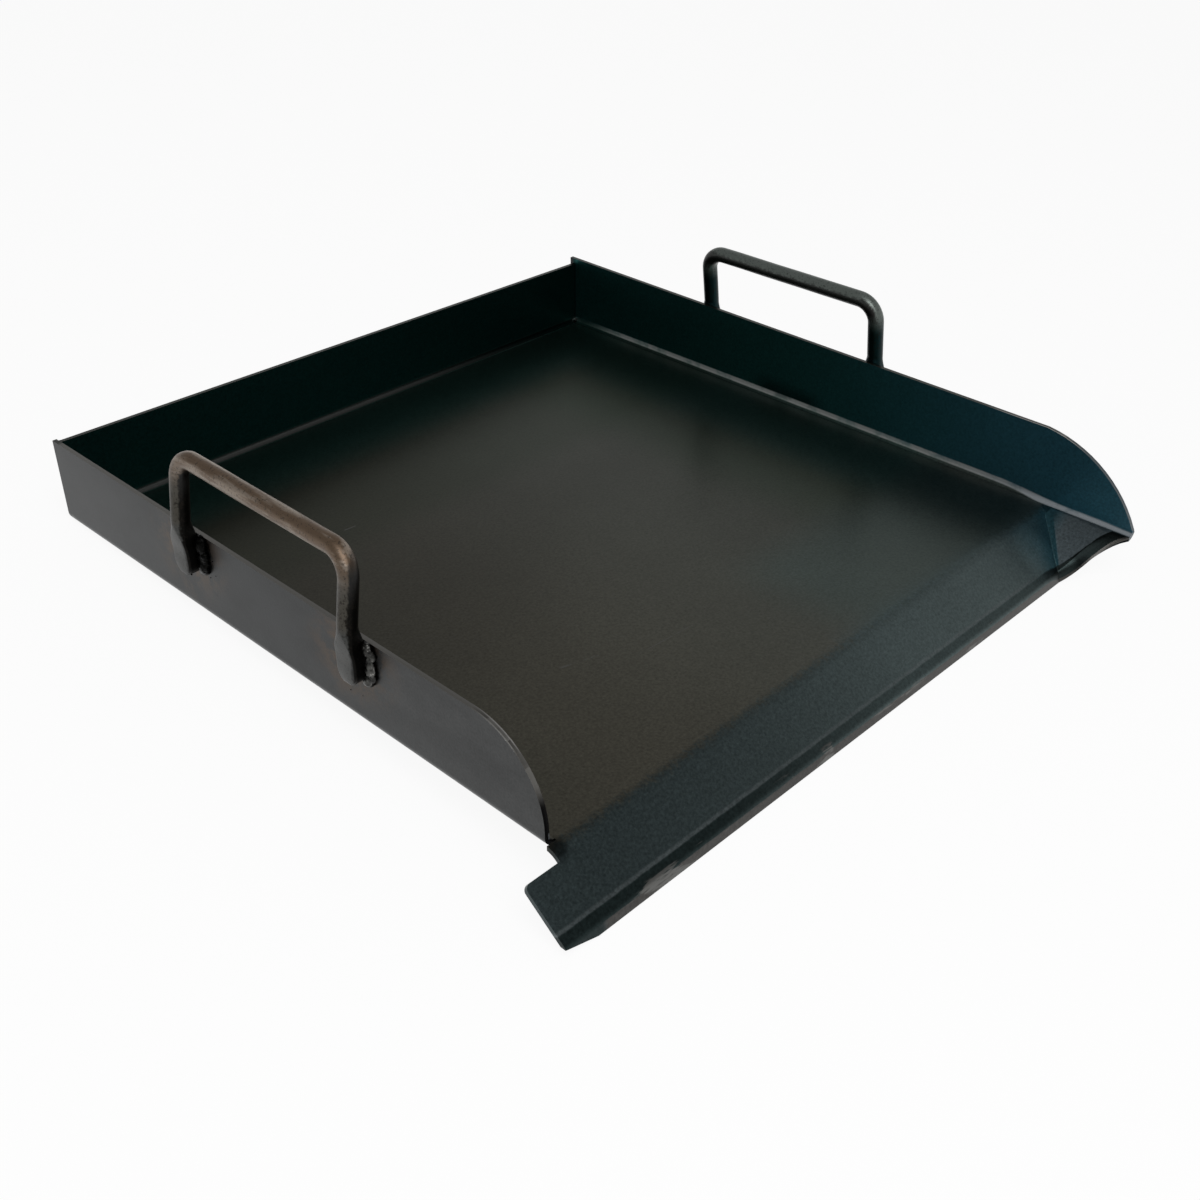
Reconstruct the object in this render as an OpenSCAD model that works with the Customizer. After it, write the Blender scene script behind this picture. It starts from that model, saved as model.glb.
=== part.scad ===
// Camp griddle plate: one folded steel sheet with two welded bar handles
// Millimetres, +Z up, front lip towards -Y, origin on the underside at the middle of the base

/* [Pan] */
// Width over the outside of the two side walls
pan_w = 400; // [320:1:520]
// Depth from the start of the lip's bend to the outside of the back wall
pan_d = 380; // [300:1:500]
// Height of the walls above the underside of the base
wall_h = 48; // [46:1:70]
// Thickness of the sheet
sheet_t = 2.5; // [2:0.1:3]
// Inside radius of the folds at the foot of the walls
fold_r = 3; // [2:0.5:5]
// How far the side walls stand out behind the back wall
wall_overhang = 1.5; // [1:0.5:4]
// Gap between the ends of the back wall and the side walls
seam_gap = 0.3; // [0.1:0.1:0.6]
// How much higher than drawn the left wall stands
left_extra = 2; // [0:0.5:4]
// How much higher than drawn the back wall's left end stands
back_extra = 1.5; // [0:0.5:4]
// How much lower the back wall's top is at its right end than at its left
back_drop = 3.5; // [0.5:0.5:5]
// How much lower than drawn the front of the right wall's top is
right_dip = 1; // [0:0.5:3]
// How much higher the right wall's top is at the rear than at the front
right_rise = 3; // [0.5:0.5:5]

/* [Wall fronts] */
// Radius of the left wall's rounded front end
left_nose_r = 42; // [20:1:44]
// Radius of the right wall's long front curve
right_nose_r = 76; // [60:1:140]
// How far the right wall runs on in front of the lip's bend
wing_len = 55; // [50:1:75]
// Height of the blunt tip at the front of the right wall
wing_tip_h = 4; // [3.5:0.5:8]

/* [Lip] */
// Slope of the lip below the base
lip_angle = 38; // [30:1:45]
// Inside radius of the bend between base and lip
lip_bend_r = 9.5; // [6:0.5:12]
// Flat length of the lip between its two bends
lip_run = 29; // [24:0.5:36]
// How far the lip reaches out past the left wall
lip_flare = 20; // [12:1:30]
// Flat left between the lip's bend and the rear edge of the part that reaches out
lip_step = 1.5; // [0.5:0.5:4]
// Corner radius of the part that reaches out
lip_corner_r = 3; // [1:0.5:5]
// Width of the saw cut between the left wall and the lip
slit_w = 1; // [0.5:0.1:2]
// Slope of the drip edge
drip_angle = 80; // [65:1:88]
// Inside radius of the drip edge's bend
drip_bend_r = 2; // [1.5:0.5:4]
// Straight length of the drip edge
drip_len = 3.8; // [2.5:0.1:6]
// Length over which the drip edge tapers away at the left end
drip_taper = 22; // [12:1:32]
// Length of front edge over which the lip rises to the right wall
rise_front = 27; // [22:1:40]
// The same at the rear end of the rise
rise_rear = 1; // [1:0.5:6]

/* [Handles] */
// Diameter of the handle bar
rod_d = 9.5; // [8:0.5:12]
// Distance between the two legs, centre to centre
handle_span = 130; // [100:1:170]
// Height of the bar's axis above the top of the wall
handle_rise = 40.5; // [32:0.5:55]
// Centre-line radius of the two bends
handle_bend_r = 12; // [10:1:20]
// How far the bar leans in over the pan, from the top of its feet
handle_lean = 8; // [0:1:10]
// Place of the left handle along the wall
left_handle_y = -9; // [-20:1:20]
// Place of the right handle along the wall
right_handle_y = 2; // [-20:1:20]
// How much higher than drawn the left handle was welded on
left_handle_lift = 3; // [-4:0.5:4]
// How much higher than drawn the right handle was welded on
right_handle_lift = -3; // [-4:0.5:4]
// Height above the wall's top at which the bar begins to flatten
foot_rise = 6; // [5:0.5:8]
// Length of the flattened foot
foot_len = 28; // [26:1:32]
// Thickness of the foot
foot_t = 8; // [6:0.5:8]
// Width of the foot
foot_w = 13.5; // [12:0.5:16]

/* [Welds] */
// Width of a foot's weld bead on the wall
bead_w = 6.5; // [4:0.5:8]
// Height of a foot's weld bead off the wall
bead_h = 4.6; // [3:0.1:5]
// Width of a corner weld on the back wall
seam_w = 3.2; // [2:0.1:5]
// Length of one ripple along a corner weld
seam_pitch = 5; // [4:0.5:8]

/* [Hidden] */
$fn = 72;
sheet_colour = [0.14, 0.15, 0.15];
bar_colour = [0.26, 0.22, 0.19];
weld_colour = [0.2, 0.2, 0.2];
fold_o = fold_r + sheet_t;
fold_x = pan_w / 2 - fold_o;
front_y = -pan_d / 2;
back_y = pan_d / 2;
lip_end_x = -pan_w / 2 - lip_flare;
lip_stop_x = fold_x - rise_front - 2;
rad = PI / 180;
lip_arc = (lip_bend_r + sheet_t) * lip_angle * rad;
drip_arc = (drip_bend_r + sheet_t) * (drip_angle - lip_angle) * rad;
wing_run = wing_len - lip_arc - drip_arc - drip_len;
bend_n = 8;
rise_n = 12;
rod_r = rod_d / 2;
bar_rise = (handle_rise - foot_rise) / cos(handle_lean);
leg_y = handle_span / 2;
right_h = wall_h - right_dip;
foot_top = wall_h + foot_rise;
foot_n = 20;
edge_r = 1.2;
edge_n = 4;
bead_room = foot_rise + max(left_handle_lift, right_handle_lift, 0) + 0.5;
bead_first = ceil(foot_n * bead_room / foot_len);
bead_last = foot_n - 1;

function mix(a, b, s) = a + (b - a) * s;
function clamp(v) = max(0, min(1, v));
function ease(v) = let (s = clamp(v)) s * s * (3 - 2 * s);

// Closed skin over rings that run clockwise when seen from the first ring
module skin(rings) {
    k = len(rings[0]);
    n = len(rings);
    half = floor(k / 2) - 1;
    points = [for (r = rings) for (p = r) p];
    sides = [for (i = [0:n - 2]) for (j = [0:k - 1])
        let (a = i * k + j, b = i * k + (j + 1) % k)
        each [[a, a + k, b + k], [a, b + k, b]]];
    first = [for (j = [0:half]) let (a = k - 1 - j)
        each [if (j + 1 < a - 1) [j, j + 1, a - 1], if (j + 1 < a) [j, a - 1, a]]];
    last = [for (f = first) [for (m = [2:-1:0]) f[m] + (n - 1) * k]];
    polyhedron(points = points, faces = concat(first, sides, last), convexity = 6);
}

// Place [y, z, slope] at a share of an arc that starts at p and ends at slope to
function arc_at(p, to, length, share) =
    let (turn = to - p[2], a = p[2] + turn * share)
    abs(turn) < 0.0001
        ? [p[0] - length * share * cos(a), p[1] - length * share * sin(a), a]
        : let (r = length / (turn * rad))
            [p[0] - r * (sin(a) - sin(p[2])), p[1] - r * (cos(p[2]) - cos(a)), a];

function along(p, length) =
    [p[0] - length * cos(p[2]), p[1] - length * sin(p[2]), p[2]];

// Upper skin of the lip from the base to its lower edge
function lip_path(slope, run, drip) =
    let (
        start = [front_y, sheet_t, 0],
        bend = [for (i = [0:bend_n]) arc_at(start, slope, lip_arc, i / bend_n)],
        turn = along(bend[bend_n], run),
        edge = [for (i = [0:bend_n]) arc_at(turn, drip, drip_arc, i / bend_n)])
    concat(bend, edge, [along(edge[bend_n], drip_len)]);

function under(p) =
    [p[0] + sheet_t * sin(p[2]), p[1] - sheet_t * cos(p[2])];

// Section of the sheet along a path, its upper skin first
function sheet_outline(path) = concat(
    [for (p = path) [p[0], p[1]]],
    [for (j = [len(path) - 1:-1:0]) under(path[j])]);

// Where along X the rise begins, for point j of the path
function rise_x(j) =
    fold_x - mix(rise_rear, rise_front, j <= bend_n ? 0.2 * j / bend_n : 1);

// One section of the rising corner, share 0 where the rise begins and 1 at the wall
function rise_ring(share) =
    let (
        bent = pow(1 - share, 1.2),
        path = lip_path(
            lip_angle * bent, mix(lip_run, wing_run, pow(share, 4)), drip_angle * bent),
        outline = sheet_outline(path),
        n = len(path))
    [for (j = [0:2 * n - 1])
        [mix(rise_x(j < n ? j : 2 * n - 1 - j), fold_x, share), outline[j][0], outline[j][1]]];

function lip_ring(x) =
    [for (p = sheet_outline(lip_path(lip_angle, lip_run, drip_angle))) [x, p[0], p[1]]];

// Right corner of the lip, where the sheet rises and flattens into the foot of the wall
module lip_corner() {
    skin(concat([lip_ring(lip_stop_x)], [for (i = [0:rise_n]) rise_ring(i / rise_n)]));
}

// Straight lip with its drip edge, its left end cut to shape
module lip() {
    path = lip_path(lip_angle, lip_run, drip_angle);
    drip_z = path[bend_n + 1][1];
    low = path[len(path) - 1];
    deep = 60;
    difference() {
        translate([lip_end_x, 0, 0])
            rotate([90, 0, 90])
                linear_extrude(lip_stop_x - lip_end_x)
                    polygon(sheet_outline(path));
        translate([0, front_y, -lip_bend_r])
            rotate([lip_angle, 0, 0])
                translate([lip_end_x, -lip_step, lip_bend_r - deep / 2]) {
                    translate([-10, 0, 0])
                        cube([lip_flare + 10, deep, deep]);
                    linear_extrude(deep)
                        difference() {
                            translate([-1, -lip_corner_r])
                                square([lip_corner_r + 1, lip_corner_r + 1]);
                            translate([lip_corner_r, -lip_corner_r])
                                circle(lip_corner_r);
                        }
                }
        translate([lip_end_x - 1, front_y - slit_w, -deep / 2])
            cube([-fold_x - lip_end_x + 1, slit_w + 1, deep]);
        translate([0, front_y, 0])
            rotate([90, 0, 0])
                linear_extrude(deep * 2)
                    polygon([
                        [lip_end_x - 1, drip_z - 2],
                        [lip_end_x, drip_z - 2],
                        [lip_end_x + drip_taper, low[1] - 1],
                        [lip_end_x + drip_taper, low[1] - 10],
                        [lip_end_x - 1, low[1] - 10]]);
    }
}

// Section of a folded wall of height h, the base joining at the left and the wall standing at the right
module fold_section(h) {
    intersection() {
        translate([0, fold_o])
            difference() {
                circle(fold_o);
                circle(fold_r);
            }
        square(fold_o);
    }
    translate([fold_r, fold_o])
        square([sheet_t, h - fold_o]);
}

// Side wall on the right of height h in front, its end there rounded off by a nose of radius r
// and height drop, its top rising towards the rear
module side_wall(h, reach, r, drop, rise) {
    nose_y = front_y - reach;
    crest = 0.3 * rise;
    nose_z = h + crest - r;
    nose_run = sqrt(r * r - (r - drop - crest) * (r - drop - crest));
    under = r > drop + crest ? 1 : 0;
    end_y = back_y + wall_overhang;
    difference() {
        translate([fold_x, end_y, 0])
            rotate([90, 0, 0])
                linear_extrude(pan_d + wall_overhang + reach)
                    fold_section(h + rise);
        if (rise > 0)
            translate([fold_x - 1, 0, 0])
                rotate([90, 0, 90])
                    linear_extrude(fold_o + 2)
                        polygon([
                            [nose_y - 1, h],
                            [end_y + 1, h + rise],
                            [end_y + 1, h + rise + 1],
                            [nose_y - 1, h + rise + 1]]);
        translate([fold_x - 1, 0, 0])
            rotate([90, 0, 90])
                linear_extrude(fold_o + 2)
                    difference() {
                        translate([nose_y - 1, h - drop - under])
                            square([nose_run + 1, drop + crest + under + 1]);
                        translate([nose_y + nose_run, nose_z])
                            circle(r, $fn = 240);
                    }
    }
}

module back_wall() {
    wall_x = pan_w / 2 - sheet_t - seam_gap;
    translate([-fold_x, back_y - fold_o, 0])
        rotate([90, 0, 90])
            linear_extrude(2 * fold_x)
                fold_section(wall_h / 2);
    translate([0, back_y, 0])
        rotate([90, 0, 0])
            linear_extrude(sheet_t)
                polygon([
                    [-wall_x, fold_o],
                    [wall_x, fold_o],
                    [wall_x, wall_h + back_extra - back_drop],
                    [-wall_x, wall_h + back_extra]]);
}

module folded_pan() {
    color(sheet_colour) {
        translate([-fold_x, front_y, 0])
            cube([2 * fold_x, pan_d - fold_o, sheet_t]);
        side_wall(right_h, wing_len, right_nose_r, right_h - wing_tip_h, right_rise);
        mirror([1, 0, 0])
            side_wall(wall_h + left_extra, 0, left_nose_r, left_nose_r, 0);
        back_wall();
        lip();
        lip_corner();
    }
}

// Shape of the hammered foot at station i, from the round bar at 0 to its end at foot_n
function foot_s(i) = i / foot_n;
function foot_thick(i) = mix(rod_d - 0.1, foot_t, ease(foot_s(i) * 1.5));
function foot_tip(i) = let (v = clamp((foot_s(i) - 0.8) / 0.2)) sqrt(1 - 0.7 * v * v);
function foot_wide(i) = mix(rod_d - 0.1, foot_w, ease(foot_s(i) * 2)) * foot_tip(i);
function foot_edge(i) = mix(rod_r - 0.1, edge_r, ease(foot_s(i) * 2.5));
function foot_back(i) = 0.05 * (1 - clamp(i / 3));
function foot_z(i) = foot_top - foot_s(i) * foot_len;

function foot_ring(i) =
    let (t = foot_thick(i), w = foot_wide(i), e = foot_edge(i), z = foot_z(i))
    [for (c = [0:3]) for (k = [0:edge_n])
        let (
            a = 90 * (c + k / edge_n),
            u = c == 0 || c == 3 ? t - e : e,
            v = c < 2 ? w / 2 - e : e - w / 2)
        [foot_back(i) + u + e * cos(a), v + e * sin(a), z]];

// Bent bar in its own place: wall face at X 0, legs along Y, heights as on the pan
module bail() {
    leg = bar_rise - handle_bend_r;
    translate([rod_r, 0, foot_top])
        rotate([0, -handle_lean, 0]) {
            for (side = [0, 1])
                mirror([0, side, 0]) {
                    translate([0, leg_y, 0])
                        sphere(rod_r);
                    translate([0, leg_y, 0])
                        cylinder(h = leg, r = rod_r);
                    translate([0, leg_y - handle_bend_r, leg])
                        rotate([90, 0, 90])
                            rotate_extrude(angle = 90)
                                translate([handle_bend_r, 0])
                                    circle(rod_r);
                }
            translate([0, handle_bend_r - leg_y, bar_rise])
                rotate([-90, 0, 0])
                    cylinder(h = handle_span - 2 * handle_bend_r, r = rod_r);
        }
    for (side = [0, 1])
        mirror([0, side, 0])
            translate([0, leg_y, 0])
                skin([for (i = [foot_n:-1:0]) foot_ring(i)]);
}

// Lumps of a hand-laid bead, a share of its full size at station i
function lump(i, seed) =
    0.8 + 0.13 * sin(i * 97 + seed * 61) + 0.07 * sin(i * 211 + seed * 37);
function bead_fade(i) =
    let (v = (i - bead_first) / (bead_last - bead_first)) pow(max(0.04, 4 * v * (1 - v)), 0.35);

// Bead beside a foot, its inner side lying on the foot and its back on the wall
function bead_ring(i, seed) =
    let (
        w = foot_wide(i) / 2,
        e = foot_edge(i),
        wide = bead_w * lump(i, seed) * bead_fade(i),
        high = max(e + 0.2, bead_h * lump(i, seed + 3) * bead_fade(i)),
        z = foot_z(i),
        side = [for (k = [0:edge_n])
            let (a = 90 * (1 + k / edge_n)) [e + e * cos(a), w - e + e * sin(a), z]],
        outer = [for (k = [0:edge_n])
            let (a = 90 * k / edge_n) [high * sin(a), w + wide * cos(a), z]])
    concat(side, outer);

module foot_weld(end, seed) {
    translate([0, end * leg_y, 0])
        for (side = [0, 1])
            mirror([0, side, 0])
                skin([for (i = [bead_first:bead_last]) bead_ring(i, seed + 5 * side)]);
}

// Bead in the corner behind the back wall, from just under its top down
module corner_weld(seed, end_h) {
    top = end_h - 0.5;
    steps = ceil((top - fold_o) / (seam_pitch / 4));
    skin([for (i = [0:steps])
        let (
            ripple = 0.82 + 0.12 * sin(i * 90) + 0.06 * sin(i * 47 + seed * 70),
            taper = pow(clamp(0.25 + min(i, steps - i) / 4), 0.5),
            a_leg = seam_w * ripple * taper,
            b_leg = (wall_overhang - 0.1) * ripple * taper,
            z = mix(top, fold_o, i / steps),
            x = pan_w / 2 - sheet_t)
        concat(
            [[x, back_y, z]],
            [for (k = [0:edge_n])
                let (a = 90 * k / edge_n) [x - a_leg * cos(a), back_y + b_leg * sin(a), z]])]);
}

module on_right() {
    translate([pan_w / 2, right_handle_y, right_handle_lift])
        children();
}

module on_left() {
    mirror([1, 0, 0])
        translate([pan_w / 2, left_handle_y, left_handle_lift])
            children();
}

module left_handle() {
    color(bar_colour)
        on_left()
            bail();
}

module right_handle() {
    color(bar_colour)
        on_right()
            bail();
}

module left_rear_foot_weld() {
    color(weld_colour)
        on_left()
            foot_weld(1, 1);
}

module left_front_foot_weld() {
    color(weld_colour)
        on_left()
            foot_weld(-1, 2);
}

module right_rear_foot_weld() {
    color(weld_colour)
        on_right()
            foot_weld(1, 3);
}

module right_front_foot_weld() {
    color(weld_colour)
        on_right()
            foot_weld(-1, 4);
}

module left_corner_weld() {
    color(weld_colour)
        mirror([1, 0, 0])
            corner_weld(1, wall_h + back_extra);
}

module right_corner_weld() {
    color(weld_colour)
        corner_weld(2, wall_h + back_extra - back_drop);
}

folded_pan();
left_handle();
right_handle();
left_rear_foot_weld();
left_front_foot_weld();
right_rear_foot_weld();
right_front_foot_weld();
left_corner_weld();
right_corner_weld();
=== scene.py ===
import bpy
import bmesh
import math
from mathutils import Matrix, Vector, noise


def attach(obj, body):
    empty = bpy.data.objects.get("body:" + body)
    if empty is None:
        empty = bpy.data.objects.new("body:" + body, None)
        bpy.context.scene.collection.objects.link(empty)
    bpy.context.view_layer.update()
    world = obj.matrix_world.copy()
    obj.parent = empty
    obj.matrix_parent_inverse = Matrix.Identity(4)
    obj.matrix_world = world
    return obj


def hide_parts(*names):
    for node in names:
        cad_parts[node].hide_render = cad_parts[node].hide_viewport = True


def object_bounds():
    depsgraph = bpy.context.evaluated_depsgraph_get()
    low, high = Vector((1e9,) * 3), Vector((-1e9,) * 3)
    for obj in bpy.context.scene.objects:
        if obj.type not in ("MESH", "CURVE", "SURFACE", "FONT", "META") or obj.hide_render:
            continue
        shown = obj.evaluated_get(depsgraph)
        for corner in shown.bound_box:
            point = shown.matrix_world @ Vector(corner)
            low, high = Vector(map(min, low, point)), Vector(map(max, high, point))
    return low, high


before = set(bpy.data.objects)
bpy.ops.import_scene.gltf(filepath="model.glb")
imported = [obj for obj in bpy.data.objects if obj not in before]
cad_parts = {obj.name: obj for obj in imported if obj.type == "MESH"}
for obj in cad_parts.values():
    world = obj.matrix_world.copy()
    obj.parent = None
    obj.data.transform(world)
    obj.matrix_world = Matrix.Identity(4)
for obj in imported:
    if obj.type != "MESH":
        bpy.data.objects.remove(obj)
cadBox = [list(corner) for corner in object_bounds()]
print("frame loaded:", len(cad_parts), "nodes")


# small helpers for shader and geometry trees

def feed(tree, socket, value):  # a socket is linked, anything else is a plain setting
    if isinstance(value, bpy.types.NodeSocket):
        tree.links.new(value, socket)
    elif value is not None:
        socket.default_value = value


def putNode(tree, kind, inputs=None, **settings):
    node = tree.nodes.new(kind)
    for key, value in settings.items():
        setattr(node, key, value)
    for key, value in (inputs or {}).items():
        feed(tree, node.inputs[key], value)
    return node


def calc(tree, operation, first, second=None, clamp=False):
    inputs = {0: first, 1: second}
    return putNode(tree, "ShaderNodeMath", inputs, operation=operation, use_clamp=clamp).outputs[0]


def product(tree, first, *others):
    for other in others:
        first = calc(tree, "MULTIPLY", first, other)
    return first


def spread(tree, value, low, high, toLow=0.0, toHigh=1.0, smooth=True):
    inputs = dict(enumerate((value, low, high, toLow, toHigh)))
    kind = "SMOOTHSTEP" if smooth else "LINEAR"
    return putNode(tree, "ShaderNodeMapRange", inputs, clamp=True, interpolation_type=kind).outputs[0]


def blendColour(tree, share, first, second, mode="MIX"):
    inputs = {0: share, 6: first, 7: second}
    node = putNode(tree, "ShaderNodeMix", inputs, data_type="RGBA", blend_type=mode, clamp_factor=True)
    return node.outputs[2]


def scaled(tree, vector, factor):  # a colour or an offset times a varying number
    return putNode(tree, "ShaderNodeVectorMath", {0: vector, "Scale": factor}, operation="SCALE").outputs[0]


def faded(tree, colour, mask, least):  # a colour dimmed to a share of itself where the mask is 1
    return scaled(tree, colour, spread(tree, mask, 0.0, 1.0, 1.0, least, False))


def splitAxes(tree, place):
    return putNode(tree, "ShaderNodeSeparateXYZ", {0: place}).outputs


def speckle(tree, place, scale, detail=3.0, roughness=0.6, stretch=None):
    if stretch:
        place = putNode(tree, "ShaderNodeMapping", {"Vector": place, "Scale": stretch}).outputs[0]
    inputs = {"Vector": place, "Scale": scale, "Detail": detail, "Roughness": roughness}
    return putNode(tree, "ShaderNodeTexNoise", inputs).outputs[0]


def fuzz(tree, place, reach, *settings):  # speckle on both sides of zero
    return product(tree, calc(tree, "SUBTRACT", speckle(tree, place, *settings), 0.5), reach)


def readMark(tree, name):  # a number left on the mesh by markMesh
    return putNode(tree, "ShaderNodeAttribute", attribute_name=name).outputs["Fac"]


def awayFromSpot(tree, first, second, spot):
    return calc(tree, "SQRT", calc(
        tree, "ADD",
        calc(tree, "POWER", calc(tree, "SUBTRACT", first, spot[0]), 2.0),
        calc(tree, "POWER", calc(tree, "SUBTRACT", second, spot[1]), 2.0)))


def pastLine(tree, x, y, line):  # how far x lies past a line through a point, with its slope
    atX, atY, slope = line
    along = product(tree, calc(tree, "SUBTRACT", y, atY), slope)
    return calc(tree, "SUBTRACT", calc(tree, "SUBTRACT", x, atX), along)


def newTree(name, kind, inputs, outputs):  # the tree, its input keys and the sockets at its two ends
    tree = bpy.data.node_groups.new(name, kind)
    keys = {}
    for label, socketKind in inputs:
        socket = tree.interface.new_socket(label, in_out="INPUT", socket_type="NodeSocket" + socketKind)
        keys[label] = socket.identifier
    for label, socketKind in outputs:
        tree.interface.new_socket(label, in_out="OUTPUT", socket_type="NodeSocket" + socketKind)
    return tree, keys, putNode(tree, "NodeGroupInput").outputs, putNode(tree, "NodeGroupOutput").inputs


def newMaterial(name):
    material = bpy.data.materials.new(name)
    material.use_nodes = True
    tree = material.node_tree
    shader = tree.nodes["Principled BSDF"]
    place = putNode(tree, "ShaderNodeTexCoord").outputs["Object"]
    return material, tree, shader, place


# what one look dictionary holds, by its names: soft limits, bands, noises, tones and coats of a tone
def brushes(tree, place, look):
    def soft(name, value, *ends):
        return spread(tree, value, *look["limits"][name], *ends)

    def between(name, value):
        rise, fall = look["bands"][name]
        return product(tree, spread(tree, value, *rise), spread(tree, value, *fall))

    def cloud(name):
        return speckle(tree, place, *look["noises"][name])

    def colour(name):
        return (*look["tones"][name], 1.0)

    def coat(under, name, *masks):
        return blendColour(tree, product(tree, *masks), under, colour(name))

    return soft, between, cloud, colour, coat


grainLook = {"fine": (4.0, 0.7), "slow": (4.0, 0.55), "span": (0.3, 0.7)}  # detail and roughness; ends
scratchLook = {"patchScale": 160.0, "patch": (0.4, 0.55)}


# mill grain: fine speckle and slow clouds, shared by every steel surface
def makeMillGrain():
    tree, _, given, out = newTree(
        "millGrain", "ShaderNodeTree",
        [("Place", "Vector"), ("Grain Scale", "Float"), ("Cloud Scale", "Float")],
        [("Grain", "Float"), ("Clouds", "Float"), ("Height", "Float")])
    fine = speckle(tree, given["Place"], given["Grain Scale"], *grainLook["fine"])
    slow = speckle(tree, given["Place"], given["Cloud Scale"], *grainLook["slow"])
    feed(tree, out["Grain"], spread(tree, fine, *grainLook["span"], smooth=False))
    feed(tree, out["Clouds"], spread(tree, slow, *grainLook["span"], smooth=False))
    feed(tree, out["Height"], fine)
    return tree


# one fine scratch between two points of a level surface
def makeScratchLine():
    tree, _, given, out = newTree(
        "scratchLine", "ShaderNodeTree",
        [("Place", "Vector"), ("From X", "Float"), ("From Y", "Float"), ("To X", "Float"), ("To Y", "Float"),
         ("Width", "Float")],
        [("Mark", "Float")])
    x, y, _ = splitAxes(tree, given["Place"])
    runX = calc(tree, "SUBTRACT", given["To X"], given["From X"])
    runY = calc(tree, "SUBTRACT", given["To Y"], given["From Y"])
    awayX = calc(tree, "SUBTRACT", x, given["From X"])
    awayY = calc(tree, "SUBTRACT", y, given["From Y"])
    square = calc(tree, "ADD", product(tree, runX, runX), product(tree, runY, runY))
    along = calc(tree, "ADD", product(tree, awayX, runX), product(tree, awayY, runY))
    share = calc(tree, "DIVIDE", along, square, clamp=True)
    nearest = (product(tree, runX, share), product(tree, runY, share))
    miss = awayFromSpot(tree, awayX, awayY, nearest)
    inside = calc(tree, "SUBTRACT", 1.0, calc(tree, "DIVIDE", miss, given["Width"]), clamp=True)
    patchy = spread(tree, speckle(tree, given["Place"], scratchLook["patchScale"]), *scratchLook["patch"])
    feed(tree, out["Mark"], product(tree, inside, patchy))
    return tree


millGrain = makeMillGrain()
scratchLine = makeScratchLine()


def addGrain(tree, place, look):
    fineScale, cloudScale = look["grain"]
    inputs = {"Place": place, "Grain Scale": fineScale, "Cloud Scale": cloudScale}
    return putNode(tree, "ShaderNodeGroup", inputs, node_tree=millGrain).outputs


def finishSteel(tree, shader, look, grain, tone, metal, rough):
    strength, distance = look["bump"]
    inputs = {"Strength": strength, "Distance": distance, "Height": grain["Height"]}
    bump = putNode(tree, "ShaderNodeBump", inputs)
    feed(tree, shader.inputs["Base Color"], tone)
    feed(tree, shader.inputs["Metallic"], metal)
    feed(tree, shader.inputs["Roughness"], rough)
    feed(tree, shader.inputs["Normal"], bump.outputs[0])


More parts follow.
